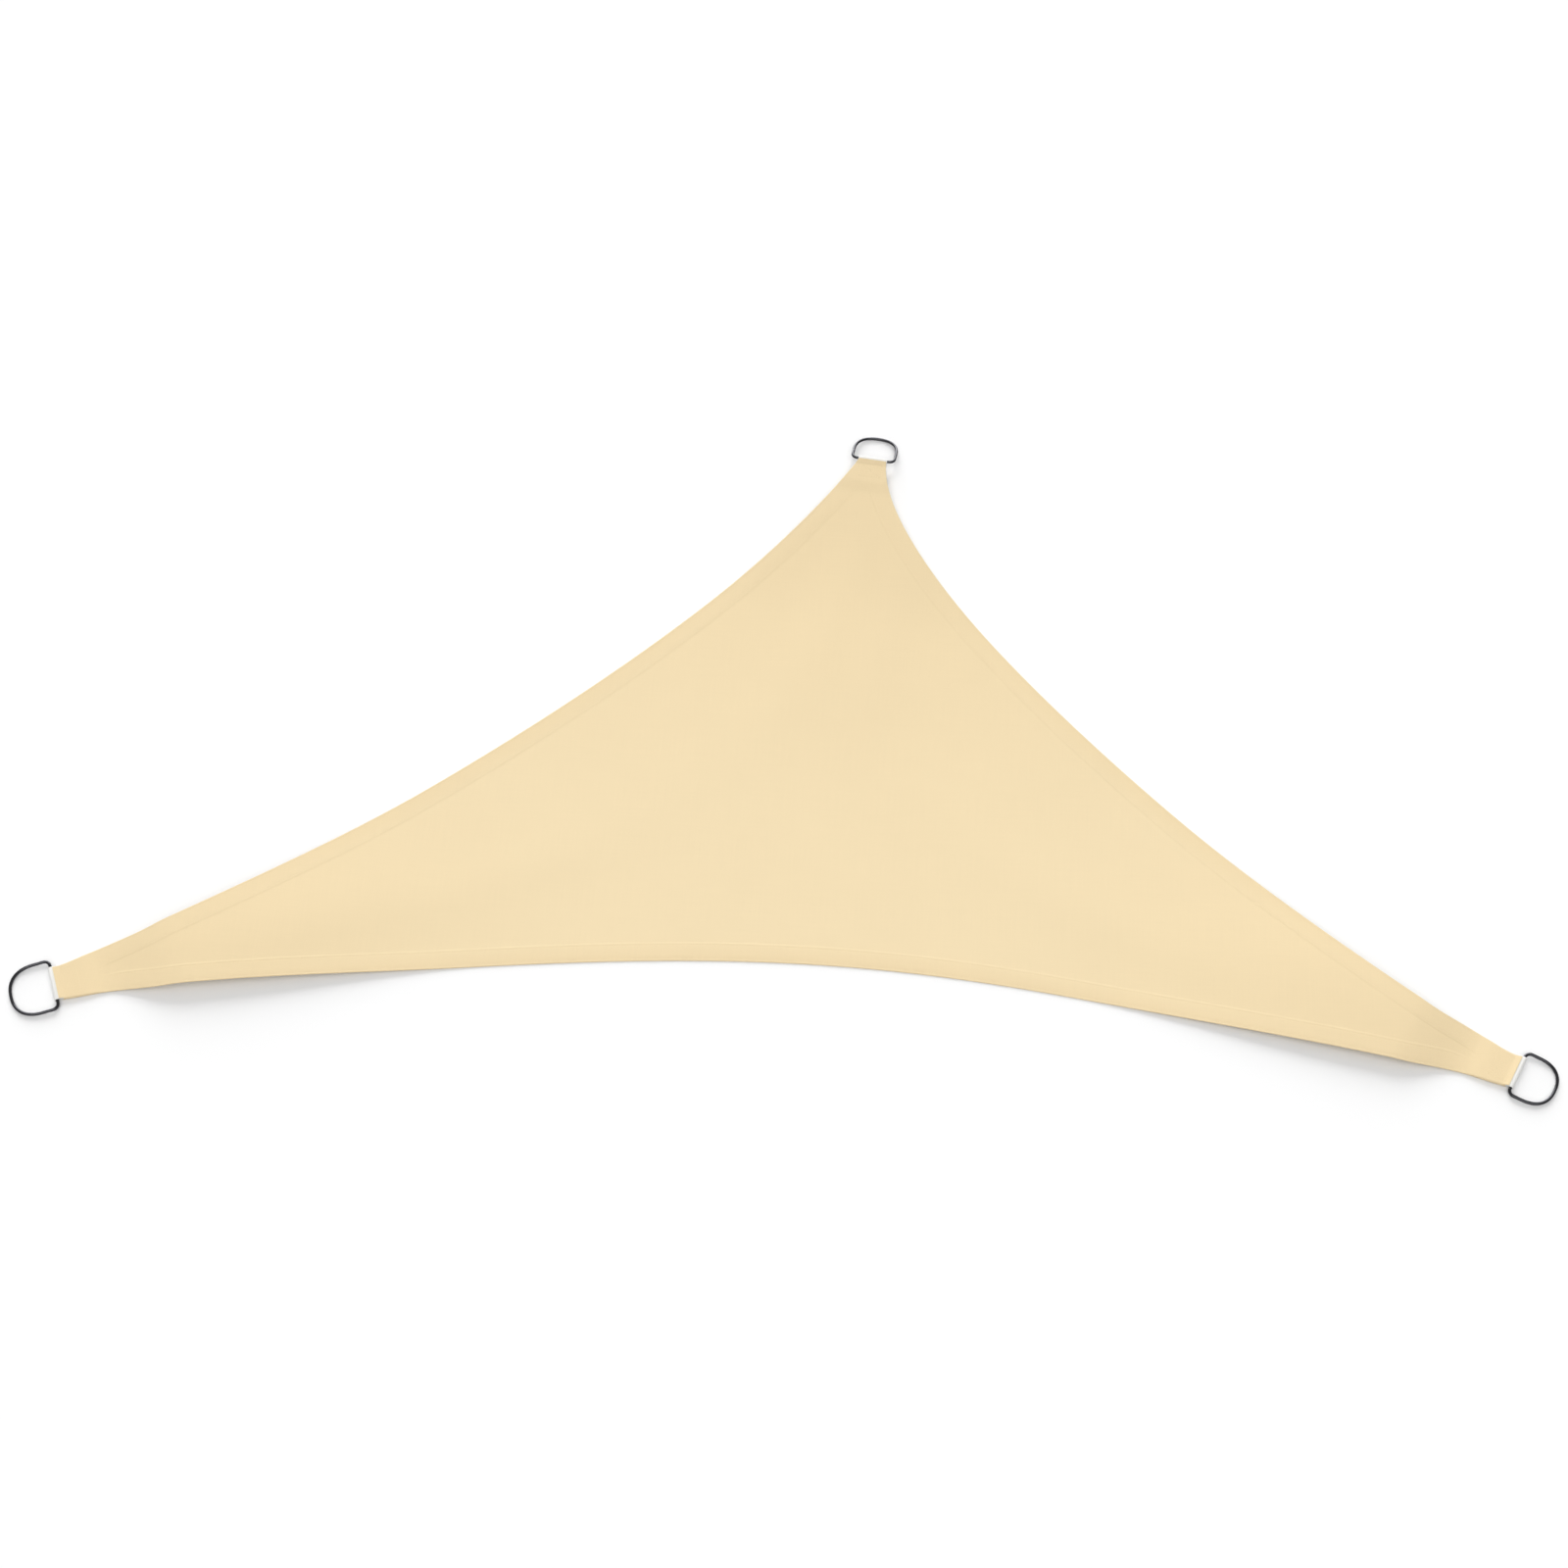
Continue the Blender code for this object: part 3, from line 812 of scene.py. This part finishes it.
def stitch_mesh(name, ends):
    """One short spindle of thread for each pair of ends."""
    start, finish = ends[:, 0], ends[:, 1]
    axis = (finish - start) / np.linalg.norm(finish - start, axis=1)[:, None]
    aside = np.cross(axis, (0.0, 0.0, 1.0))
    aside /= np.linalg.norm(aside, axis=1)[:, None]
    above = np.cross(aside, axis)
    turn = np.arange(STITCH_SIDES) * 2 * math.pi / STITCH_SIDES
    rings = []
    for place, width in STITCH_TAPER:
        centre = start + (finish - start) * place
        radius = THREAD_RADIUS * width
        rings.append(
            centre[:, None]
            + radius * np.cos(turn)[None, :, None] * aside[:, None]
            + radius * np.sin(turn)[None, :, None] * above[:, None]
        )
    points = np.stack(rings, axis=1).reshape(-1, 3)
    own = []
    for ring in (0, 1):
        for i in range(STITCH_SIDES):
            j = (i + 1) % STITCH_SIDES
            low, high = ring * STITCH_SIDES, (ring + 1) * STITCH_SIDES
            own.append((low + i, low + j, high + j, high + i))
    caps = [
        tuple(range(STITCH_SIDES))[::-1],
        tuple(range(2 * STITCH_SIDES, 3 * STITCH_SIDES)),
    ]
    faces = []
    for first in range(0, len(points), 3 * STITCH_SIDES):
        for face in own + caps:
            faces.append(tuple(first + i for i in face))
    mesh = bpy.data.meshes.new(name)
    mesh.from_pydata(points.tolist(), [], faces)
    mesh.shade_smooth()
    return mesh


def on_cloth(corner, points, offset):
    """The middle of a thread at these points of the cloth's top, half sunk into it."""
    far_inside = np.full(offset.shape, HEM_BAND)
    top, _ = cloth_surfaces(corner, points, offset, far_inside)
    return np.concatenate([points, top[..., None] - THREAD_SINK], axis=-1)


def hem_stitches():
    """Both rows along every edge, as start and end points."""
    lines = [EdgeLine(edge) for edge in EDGES]
    found = []
    for corner in CORNERS:
        arm = Arm(corner, lines)
        for side in (1, -1):
            line = arm.leaving if side > 0 else arm.arriving
            run = np.arange(HEM_STITCHES_FROM, line.length / 2, STITCH_PITCH)
            for row in STITCH_ROWS:
                ends = []
                for shift in (0.0, STITCH_LENGTH):
                    share = (run + shift) / line.length * 2
                    points, _ = arm.band(side, share, row)
                    ends.append(on_cloth(corner, points, np.full(run.shape, row)))
                found.append(np.stack(ends, axis=1))
    return np.concatenate(found)


def box_stitches(corner):
    """A sewn box and its diagonals, through both plies and the strap's tails."""
    half = corner.strap_width / 2 - BOX_MARGIN
    box = [(BOX_FROM, -half), (BOX_TO, -half), (BOX_TO, half), (BOX_FROM, half)]
    turns = [(box[i], box[(i + 1) % 4]) for i in range(4)]
    turns += [(box[0], box[2]), (box[1], box[3])]
    back, aside = -direction(corner.outward_deg), across_of(corner)
    bar = np.array([corner.x, corner.y])
    found = []
    for first, last in turns:
        first, last = np.array(first), np.array(last)
        length = np.linalg.norm(last - first)
        way = (last - first) / length
        starts = np.arange(0.0, length - STITCH_LENGTH, STITCH_PITCH)
        ends = []
        for shift in (0.0, STITCH_LENGTH):
            flat = first + (starts + shift)[:, None] * way
            points = bar + flat[:, :1] * back + flat[:, 1:] * aside
            ends.append(on_cloth(corner, points, np.full(len(starts), BETWEEN_ROWS)))
        found.append(np.stack(ends, axis=1))
    return np.concatenate(found)


def strap_sheets(corner):
    """The strap's outer and inner surface, as rows of points across its width.

    The surfaces meet along its rounded selvedges. Also gives how far each row is
    along the strap and each column across it.
    """
    outer = strap_path(STRAP_OUTER_RADIUS, STRAP_THICKNESS, STRAP_ARC_STEPS)
    inner = strap_path(STRAP_EYE_RADIUS, TAIL_PARTING, STRAP_ARC_STEPS)
    middle = (outer + inner) / 2
    selvedge = STRAP_THICKNESS / 2
    turn = np.linspace(0.0, math.pi / 2, SELVEDGE_POINTS)
    rim = corner.strap_width / 2 - selvedge + selvedge * np.sin(turn)
    across = np.concatenate([-rim[::-1], rim])
    fullness = np.concatenate([np.cos(turn)[::-1], np.cos(turn)])
    sheets = []
    for surface in (outer, inner):
        side_view = middle[:, None] + (surface - middle)[:, None] * fullness[:, None]
        depth = np.broadcast_to(across, side_view.shape[:2])
        sheets.append(np.concatenate([side_view, depth[..., None]], axis=-1))
    steps = np.linalg.norm(np.diff(middle, axis=0), axis=1)
    along = np.concatenate([[0.0], np.cumsum(steps)])
    return sheets, along, across


def strap_faces(rows, columns):
    """Each face's corners, as sheet, row and column: both sheets, then both ends."""
    for sheet in (0, 1):
        for row in range(rows - 1):
            for column in range(columns - 1):
                yield (
                    (sheet, row, column),
                    (sheet, row, column + 1),
                    (sheet, row + 1, column + 1),
                    (sheet, row + 1, column),
                )
    for row in (0, rows - 1):
        for column in range(columns - 1):
            yield (0, row, column), (0, row, column + 1), (1, row, column + 1), (1, row, column)


def build_loop(corner, material):
    """One strap, from its upper tail round the bar to its lower tail."""
    sheets, along, across = strap_sheets(corner)
    loop = bmesh.new()
    layer = loop.loops.layers.uv.new("strap")
    made = {}

    def vertex(sheet, row, column):
        """The two sheets share their points along the selvedges."""
        key = (0 if column in (0, len(across) - 1) else sheet, row, column)
        if key not in made:
            made[key] = loop.verts.new(sheets[sheet][row][column])
        return made[key]

    for corners in strap_faces(len(along), len(across)):
        places = {vertex(*place): place for place in corners}
        for point in loop.faces.new(list(places)).loops:
            _, row, column = places[point.vert]
            point[layer].uv = (along[row], across[column])
    bmesh.ops.recalc_face_normals(loop, faces=loop.faces[:])
    mesh = bpy.data.meshes.new(f"webbing_{corner.name}")
    loop.to_mesh(mesh)
    loop.free()
    mesh.transform(corner_matrix(corner) @ strap_matrix(corner))
    mesh.shade_smooth()
    mesh.set_sharp_from_angle(angle=SHARP_ANGLE)
    return new_object(f"webbing_{corner.name}", mesh, material)


def ring_outline(corner):
    """The wire's centre line: the bar on x = 0, the far arc towards +X."""
    half_width = corner.ring_width / 2
    bends = []
    for side in (1, -1):
        centre = np.array([RING_BEND, side * (half_width - RING_BEND)])
        angles = math.pi - side * np.linspace(0.0, math.pi / 2, BEND_STEPS + 1)
        bends.append(centre + RING_BEND * np.column_stack([np.cos(angles), np.sin(angles)]))
    angles = np.linspace(math.pi / 2, -math.pi / 2, ARC_STEPS + 1)
    outward = np.abs(np.cos(angles)) ** (2 / ARC_FULLNESS)
    aside = np.copysign(np.abs(np.sin(angles)) ** (2 / ARC_FULLNESS), angles)
    starts_at = corner.ring_depth - half_width
    arc = np.column_stack([starts_at + half_width * outward, half_width * aside])
    return np.concatenate([bends[0], arc, bends[1][::-1]])


def build_ring(corner, material):
    """The bent wire, its bar in the loop and its far end drooping to the surface."""
    curve = bpy.data.curves.new(f"ring_{corner.name}", "CURVE")
    curve.dimensions = "3D"
    outline = ring_outline(corner)
    spline = curve.splines.new("POLY")
    spline.points.add(len(outline) - 1)
    for point, (x, y) in zip(spline.points, outline):
        point.co = (x, y, 0.0, 1.0)
    spline.use_cyclic_u = True
    spline.use_smooth = True
    curve.bevel_depth = WIRE_RADIUS
    curve.bevel_resolution = WIRE_ROUNDNESS
    guide = bpy.data.objects.new("ring_guide", curve)
    bpy.context.scene.collection.objects.link(guide)
    graph = bpy.context.evaluated_depsgraph_get()
    mesh = bpy.data.meshes.new_from_object(guide.evaluated_get(graph))
    bpy.data.objects.remove(guide)
    droop = math.asin((bar_height(corner) - WIRE_RADIUS) / corner.ring_depth)
    mesh.transform(corner_matrix(corner) @ Matrix.Rotation(droop, 4, "Y"))
    mesh.materials.clear()
    mesh.shade_smooth()
    return new_object(f"ring_{corner.name}", mesh, material)


# --- Studio ------------------------------------------------------------------


def add_camera():
    data = bpy.data.cameras.new("camera")
    data.sensor_width = SENSOR_WIDTH
    data.lens = LENS
    camera = bpy.data.objects.new("camera", data)
    away = Vector(
        (
            math.sin(CAMERA_AZIMUTH) * math.cos(CAMERA_ELEVATION),
            -math.cos(CAMERA_AZIMUTH) * math.cos(CAMERA_ELEVATION),
            math.sin(CAMERA_ELEVATION),
        )
    )
    camera.location = CAMERA_TARGET + CAMERA_DISTANCE * away
    camera.rotation_mode = "QUATERNION"
    camera.rotation_quaternion = (-away).to_track_quat("-Z", "Y")
    bpy.context.scene.collection.objects.link(camera)
    bpy.context.scene.camera = camera


def add_floor():
    mesh = bpy.data.meshes.new("floor")
    floor = bmesh.new()
    bmesh.ops.create_grid(floor, x_segments=1, y_segments=1, size=FLOOR_HALF_SIDE)
    floor.to_mesh(mesh)
    floor.free()
    obj = new_object("floor", mesh, floor_material())
    obj.location.z = -FLOOR_DROP


def add_sun(name, azimuth, elevation, strength, softness):
    """A soft sun that shines from this azimuth, 0 being from behind the sail."""
    data = bpy.data.lights.new(name, "SUN")
    data.energy = strength
    data.angle = math.radians(softness)
    sun = bpy.data.objects.new(name, data)
    a, e = math.radians(azimuth), math.radians(elevation)
    towards = Vector((math.sin(a) * math.cos(e), math.cos(a) * math.cos(e), math.sin(e)))
    sun.rotation_mode = "QUATERNION"
    sun.rotation_quaternion = towards.to_track_quat("Z", "Y")
    bpy.context.scene.collection.objects.link(sun)


def add_sky(low, overhead, backdrop):
    """A studio glow, brightest overhead, and a pale backdrop along the horizon."""
    world = bpy.data.worlds.new("studio")
    world.use_nodes = True
    bpy.context.scene.world = world
    tree = world.node_tree
    where = add_node(tree, "ShaderNodeTexCoord").outputs["Generated"]
    up = add_node(tree, "ShaderNodeSeparateXYZ", {"Vector": where}).outputs["Z"]
    glow = ranged(tree, up, low, overhead)
    full_to, gone_at = BACKDROP_FADE
    fade = {"From Min": full_to, "From Max": gone_at, "To Min": backdrop, "To Max": 0.0}
    horizon = add_node(tree, "ShaderNodeMapRange", {"Value": up, **fade}).outputs["Result"]
    strength = combine(tree, "MAXIMUM", glow, horizon)
    tree.links.new(strength, tree.nodes["Background"].inputs["Strength"])
    tree.nodes["Background"].inputs["Color"].default_value = (1.0, 1.0, 1.0, 1.0)


def add_studio():
    bpy.context.scene.view_settings.view_transform = "Standard"
    add_camera()
    add_floor()
    add_sun("key", azimuth=-9.0, elevation=21.5, strength=3.30, softness=46.0)
    add_sun("fill", azimuth=180.0, elevation=58.0, strength=1.28, softness=60.0)
    add_sky(low=0.17, overhead=0.54, backdrop=1.0)


# --- The sail ----------------------------------------------------------------


def add_cloth():
    cloth = build_cloth(cloth_material())
    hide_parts("sail_cloth")
    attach(cloth, "root")
    return cloth


def add_stitching():
    thread = thread_material()
    ends_of = {"hem_stitches": hem_stitches()}
    for corner in CORNERS:
        ends_of[f"box_stitches_{corner.name}"] = box_stitches(corner)
    pieces = []
    for name, ends in ends_of.items():
        piece = new_object(name, stitch_mesh(name, ends), thread)
        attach(piece, "root")
        pieces.append(piece)
    return pieces


def add_fittings():
    webbing, steel = webbing_material(), steel_material()
    pieces = []
    for corner in CORNERS:
        loop = build_loop(corner, webbing)
        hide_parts(f"corner_loop_{corner.name}")
        ring = build_ring(corner, steel)
        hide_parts(f"d_ring_{corner.name}")
        for piece in (loop, ring):
            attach(piece, "root")
            pieces.append(piece)
    return pieces


def main():
    add_studio()
    cloth = add_cloth()
    pieces = add_stitching() + add_fittings()


main()
